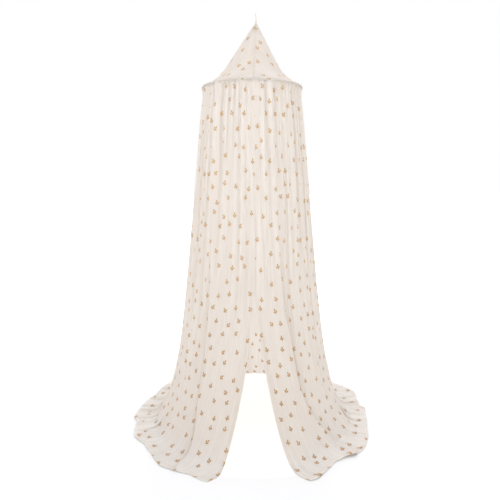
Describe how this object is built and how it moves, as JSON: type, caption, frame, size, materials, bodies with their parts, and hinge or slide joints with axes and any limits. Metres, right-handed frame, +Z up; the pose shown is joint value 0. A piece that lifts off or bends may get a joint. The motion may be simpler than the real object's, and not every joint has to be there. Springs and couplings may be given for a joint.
{
  "type": "bed crown canopy",
  "caption": "Hanging bed crown canopy: a cone of cloth over a round hoop with a full curtain that opens at the front and pools on the floor.",
  "frame": {"origin": "where the ceiling hook bears in the hanging loop", "axes": "+Z up, the curtain's front opening faces -Y, +X to the right of someone who looks at the opening; the floor is at z = -2.0674 m"},
  "size_m": [1.2751, 1.2296, 2.069],
  "materials": {
    "printed_muslin": "thin ivory cotton muslin with a small tan print",
    "crown_muslin": "the same muslin, smooth and lined",
    "loop_tape": "the same muslin folded to a tape",
    "inner_cloth": "plain white cotton, inside",
    "white_plastic": "satin white tube"
  },
  "bodies": {
    "crown_and_back": {"hanging_loop": "loop_tape", "apex_patch": "inner_cloth", "crown_gore_left": "crown_muslin", "crown_gore_right": "crown_muslin", "hoop_tunnel_left": "inner_cloth", "hoop_tunnel_right": "inner_cloth", "hoop_arc_front_left": "white_plastic", "hoop_arc_front_right": "white_plastic", "hoop_arc_back_left": "white_plastic", "hoop_arc_back_right": "white_plastic", "hoop_plug_front": "white_plastic", "hoop_plug_back": "white_plastic", "hoop_plug_left": "white_plastic", "hoop_plug_right": "white_plastic", "curtain_back_left": "printed_muslin", "curtain_back_right": "printed_muslin"},
    "left_leaf": {"curtain_front_left": "printed_muslin"},
    "right_leaf": {"curtain_front_right": "printed_muslin"}
  },
  "joints": [
    {"name": "left_leaf_swing", "type": "hinge", "parent": "crown_and_back", "child": "left_leaf", "pos_m": [-0.143, -0.21651, -0.3524], "axis": [-0.866, 0.5, 0], "range_deg": [0, 15]},
    {"name": "right_leaf_swing", "type": "hinge", "parent": "crown_and_back", "child": "right_leaf", "pos_m": [0.107, -0.21651, -0.3524], "axis": [-0.866, -0.5, 0], "range_deg": [0, 15]}
  ]
}
